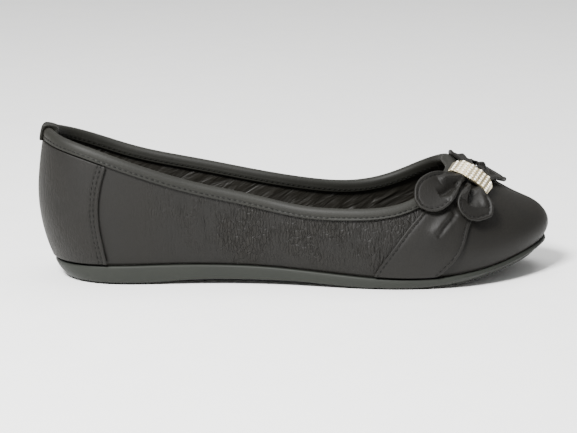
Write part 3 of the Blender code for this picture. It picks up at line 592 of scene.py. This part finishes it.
# Bow: two strips of the same nubuck, gathered by the ring into a petal on either side. Each has its
# edge turned and stitched all round. A fold is x and y in mm along it, and its depth or, below 0, height.
RING_REACH = 11 * MM         # no stitch shows this close to the ring's middle
FOLD_WIDTH = 1.9 * MM
FOLD_FADE = 0.15
CLOSED_FADE = 0.001          # a channel that runs all round doesn't fade
PETAL_TURN = 0.4 * MM        # middle of a petal's turned edge, from the edge itself
PETAL_FOLD = 0.45 * MM
PETAL_FOLD_WIDTH = 1.0 * MM
REAR_FOLDS = [
    ([(86, -15), (80, -23.5), (75.6, -27.6), (71.5, -32), (68, -34)], 2.2 * MM),
    ([(81, -18), (76.5, -22), (72.5, -25), (69, -28.5)], -2.2 * MM),
    ([(81, -23), (78.5, -28), (76, -32.5), (73.5, -36.5)], -0.9 * MM),
    ([(84, -6), (80, 0), (77, 6), (75, 12)], 1.8 * MM),
    ([(86, -6), (84, 1), (83, 8), (82, 13)], -1.8 * MM),
]
FRONT_FOLDS = [
    ([(86.5, -16), (85.4, -24), (84.6, -29), (84.3, -32.5)], 2.6 * MM),
    ([(84.5, -20), (83, -25), (81.6, -29), (80.5, -32.5)], -1.8 * MM),
    ([(88, -18), (88.6, -23), (90, -27), (91.5, -30)], -1.4 * MM),
    ([(89, -7), (91, 0), (92, 6), (93, 12)], -2.0 * MM),
    ([(91, -8), (95, -2), (97, 4), (98, 10)], 1.4 * MM),
]
ring_middle = sum(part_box("bow_ring"), Vector()) / 2
for node, name, folds in (("bow_rear", "rear_petals", REAR_FOLDS),
                          ("bow_front", "front_petals", FRONT_FOLDS)):
    petals = dress(node, name, 3, RIM_SHARP, 0.4)
    petals.data.materials.append(nubuck)
    skin = skin_of(petals)
    for line, depth in folds:
        press(petals, cast(skin, line, 0), depth, FOLD_WIDTH, FOLD_FADE)
    skin = skin_of(petals)
    rims = sheet_edges(node)
    for run in rims:
        swell(petals, seam(run, skin, PETAL_TURN, CREASE_STEP), PETAL_FOLD, PETAL_FOLD_WIDTH)
        press(petals, seam(run, skin, EDGE_ROW, CREASE_STEP), CHANNEL, CHANNEL_WIDTH, CLOSED_FADE)
    skin = skin_of(petals)
    rows = [seam(run, skin, EDGE_ROW, STITCH_PITCH) for run in rims]
    shown = [[hit for hit in row if (hit[0] - ring_middle).length > RING_REACH] for row in rows]
    sew(name + "_stitches", shown)

# Binding: a strip of smoother synthetic leather, folded over the edge of the collar. A row of stitches
# runs round each of its legs.
BINDING_ROW = 1.3 * MM
TRIM_DARK = "#131310"
TRIM_LIGHT = "#1f1f1a"
TRIM_CRAZE = 0.35 * MM

# Trim leather: a little lighter than the nubuck, and nearly without wrinkles.
trim = leather("folded_trim_leather", TRIM_DARK, TRIM_LIGHT, TRIM_CRAZE, WRINKLE_DEPTH)
binding = dress("topline_binding", "binding_leather", 3, RIM_SHARP, 0.5)
binding.data.materials.append(trim)
legs = sheet_edges("topline_binding")
skin = skin_of(binding)
for run in legs:
    press(binding, seam(run, skin, BINDING_ROW, CREASE_STEP), CHANNEL, CHANNEL_WIDTH, CLOSED_FADE)
skin = skin_of(binding)
sew("binding_stitches", [seam(run, skin, BINDING_ROW, STITCH_PITCH) for run in legs])

# Heel tab: a short loop of the same strip, folded over the binding at the back. It is pulled down tight
# on the binding and the counter.
TAB_CLEAR = 0.1 * MM
TAB_FACING = 0.5             # only faces that look this squarely at what is under them are pulled
tab = dress("heel_tab", "tab_leather", 3, RIM_SHARP, 0.3)
under_tab = [skin_of(binding), skin_of(counter)]
for vert in tab.data.vertices:
    reach = min((skin.find_nearest(vert.co)[0] - vert.co for skin in under_tab), key=lambda way: way.length)
    if reach.dot(vert.normal) > TAB_FACING * reach.length:
        vert.co += reach.normalized() * (reach.length - TAB_CLEAR)
tab.data.update()
tab.data.materials.append(trim)

# Ring: a cast bar with a pale gold wash, bent over the middle of the bow. It is paved with rows of small
# foiled glass stones, each glued into a cup of the same metal.
RING_SHARP = math.radians(40)
GOLD_DARK = "#c9b88f"
GOLD_LIGHT = "#f0e7cd"
GOLD_WEAR = 1.5 * MM
GLASS_LIGHT = "#fffdf6"
GLASS_DARK = "#d9cfb6"
GLASS_GLINT_SIZE = 0.9 * MM
ring = dress("bow_ring", "ring_bar", 2, RIM_SHARP, 0.8)
bpy.ops.object.shade_smooth_by_angle(angle=RING_SHARP)

# Polished gold wash: a pale mirror, duller where it is handled.
metal, tree, shader = surface("polished_pale_gold")
place = add(tree, "ShaderNodeTexCoord", {}).outputs["Object"]
wear = add(tree, "ShaderNodeTexNoise", {"Vector": place, "Scale": 1 / GOLD_WEAR, "Detail": 3.0})
tint = add(tree, "ShaderNodeMix", {"Factor": wear.outputs["Fac"], "A": linear(GOLD_DARK),
                                   "B": linear(GOLD_LIGHT)}, data_type="RGBA")
polish = add(tree, "ShaderNodeMapRange", {"Value": wear.outputs["Fac"], "To Min": 0.14, "To Max": 0.34})
tree.links.new(tint.outputs["Result"], shader.inputs["Base Color"])
tree.links.new(polish.outputs["Result"], shader.inputs["Roughness"])
shader.inputs["Metallic"].default_value = 1.0
ring.data.materials.append(metal)

# Foiled glass: nearly white, with a warm cast, and painted bright glints in small spots, darker between them.
glass, tree, shader = surface("foiled_glass")
place = add(tree, "ShaderNodeTexCoord", {}).outputs["Object"]
# Painted glints: each small cell is brightest at its middle.
painted_glints = add(tree, "ShaderNodeTexVoronoi", {"Vector": place, "Scale": 1 / GLASS_GLINT_SIZE})
tint = add(tree, "ShaderNodeMix", {"Factor": painted_glints.outputs["Distance"], "A": linear(GLASS_LIGHT),
                                   "B": linear(GLASS_DARK)}, data_type="RGBA")
tree.links.new(tint.outputs["Result"], shader.inputs["Base Color"])
shader.inputs["Roughness"].default_value = 0.08
shader.inputs["Specular IOR Level"].default_value = 0.9

STONE_ROWS = 5
STONE_COLUMNS = 9
STONE_SIZE = 1.8 * MM
STONE_HEIGHT = 0.6 * MM
STONE_SIDES = 8
STONE_TABLE = 0.5            # width of a stone's flat top, as a share of the stone
STONE_STAGGER = 0.2          # columns are moved to either side by turns, by this share of a row
CUP_FOOT = 1.12              # a cup's widths, as shares of the stone's
CUP_RIM = 1.06
CUP_HEIGHT = 0.45            # a cup's height and its middle's, as shares of the stone's height
CUP_MIDDLE = 0.2
RING_MARGIN = 0.94           # the stones cover this share of the ring
spots = places(ring)
ring_centre = spots.mean(0)
axes = np.linalg.svd(spots - ring_centre, full_matrices=False)[2]
along, across, out = (Vector(axis) * math.copysign(1, axis[2]) for axis in axes)
length, width = (np.ptp(spots @ np.array(axis)) * RING_MARGIN for axis in (along, across))
skin = skin_of(ring)
stones = bmesh.new()
cups = bmesh.new()
for column in range(STONE_COLUMNS):
    a = (column + 0.5) / STONE_COLUMNS - 0.5
    stagger = STONE_STAGGER if column % 2 else -STONE_STAGGER
    for b in (np.arange(STONE_ROWS) + 0.5 + stagger) / STONE_ROWS - 0.5:
        start = Vector(ring_centre) + along * (a * length) + across * (b * width) + out * length
        spot, normal, _, _ = skin.ray_cast(start, -out)
        stand = Matrix.Translation(spot) @ normal.to_track_quat("Z", "Y").to_matrix().to_4x4()
        bmesh.ops.create_cone(stones, cap_ends=True, segments=STONE_SIDES, radius1=STONE_SIZE / 2,
                              radius2=STONE_SIZE / 2 * STONE_TABLE, depth=STONE_HEIGHT,
                              matrix=stand @ Matrix.Translation((0, 0, STONE_HEIGHT / 2)))
        bmesh.ops.create_cone(cups, cap_ends=True, segments=STONE_SIDES, radius1=STONE_SIZE / 2 * CUP_FOOT,
                              radius2=STONE_SIZE / 2 * CUP_RIM, depth=STONE_HEIGHT * CUP_HEIGHT,
                              matrix=stand @ Matrix.Translation((0, 0, STONE_HEIGHT * CUP_MIDDLE)))
for name, work, finish in (("ring_stones", stones, glass), ("ring_cups", cups, metal)):
    mesh = bpy.data.meshes.new(name)
    work.to_mesh(mesh)
    work.free()
    piece = bpy.data.objects.new(name, mesh)
    bpy.context.scene.collection.objects.link(piece)
    mesh.materials.append(finish)
    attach(piece, "root")

# Studio: a pale sheet of paper that runs out of sight, a softbox from the front left and a wider one
# from above.
FLOOR_SIZE = 8
PAPER_DARK = "#f8f8f6"
PAPER_LIGHT = "#fdfdfc"
PAPER_CLOUD = 25 * MM
SKY_LIGHT = 0.5
LIGHT_AIM = (0, 0, 0.03)
KEY_PLACE = (-0.5, -0.9, 1.1)
KEY_SIZE = 0.4
KEY_POWER = 72
TOP_PLACE = (0.1, 0.3, 1.4)
TOP_SIZE = 1.2
TOP_POWER = 14
bpy.ops.mesh.primitive_plane_add(size=FLOOR_SIZE, location=(0, 0, 0))
floor = bpy.context.active_object
floor.name = "studio_floor"
paper, tree, shader = surface("white_paper")
place = add(tree, "ShaderNodeTexCoord", {}).outputs["Object"]
cloud = add(tree, "ShaderNodeTexNoise", {"Vector": place, "Scale": 1 / PAPER_CLOUD})
tint = add(tree, "ShaderNodeMix", {"Factor": cloud.outputs["Fac"], "A": linear(PAPER_DARK),
                                   "B": linear(PAPER_LIGHT)}, data_type="RGBA")
tree.links.new(tint.outputs["Result"], shader.inputs["Base Color"])
shader.inputs["Roughness"].default_value = 0.9
floor.data.materials.append(paper)

world = bpy.data.worlds.new("studio")
bpy.context.scene.world = world
world.use_nodes = True
world.node_tree.nodes["Background"].inputs["Color"].default_value = (1, 1, 1, 1)
world.node_tree.nodes["Background"].inputs["Strength"].default_value = SKY_LIGHT


def softbox(name, place, size, power):
    """A square area light at a place, turned to the shoe."""
    lamp = bpy.data.lights.new(name, "AREA")
    lamp.size = size
    lamp.energy = power
    made = bpy.data.objects.new(name, lamp)
    bpy.context.scene.collection.objects.link(made)
    made.location = place
    made.rotation_euler = (Vector(LIGHT_AIM) - Vector(place)).to_track_quat("-Z", "Y").to_euler()


softbox("key_light", KEY_PLACE, KEY_SIZE, KEY_POWER)
softbox("top_light", TOP_PLACE, TOP_SIZE, TOP_POWER)

# Camera: on the lateral side, a little above the shoe and level with its middle, as in the photograph.
# It looks at the middle of the solids, moved by the two AIM sizes in its own picture.
CAMERA_RISE = math.radians(12.5)
CAMERA_ROLL = math.radians(-0.45)
CAMERA_DISTANCE = 1.1
CAMERA_AIM = Vector((-0.00024, 0.00145, 0.030))
AIM_RIGHT = -3.0 * MM
AIM_UP = -2.6 * MM
FOCAL_PIXELS = 2233
PHOTO_WIDTH = 577
SENSOR = 36.0                # mm, as the camera takes it
NEAR_CLIP = 0.05
lens = bpy.data.cameras.new("photo_camera")
lens.sensor_width = SENSOR
lens.lens = FOCAL_PIXELS * SENSOR / PHOTO_WIDTH
lens.clip_start = NEAR_CLIP
camera = bpy.data.objects.new("photo_camera", lens)
bpy.context.scene.collection.objects.link(camera)
turn = Matrix.Rotation(math.pi / 2 - CAMERA_RISE, 4, "X") @ Matrix.Rotation(CAMERA_ROLL, 4, "Z")
back = Vector((0, -math.cos(CAMERA_RISE), math.sin(CAMERA_RISE)))
up = Vector((0, math.sin(CAMERA_RISE), math.cos(CAMERA_RISE)))
spot = CAMERA_AIM + Vector((AIM_RIGHT, 0, 0)) + up * AIM_UP + back * CAMERA_DISTANCE
camera.matrix_world = Matrix.Translation(spot) @ turn
bpy.context.scene.camera = camera
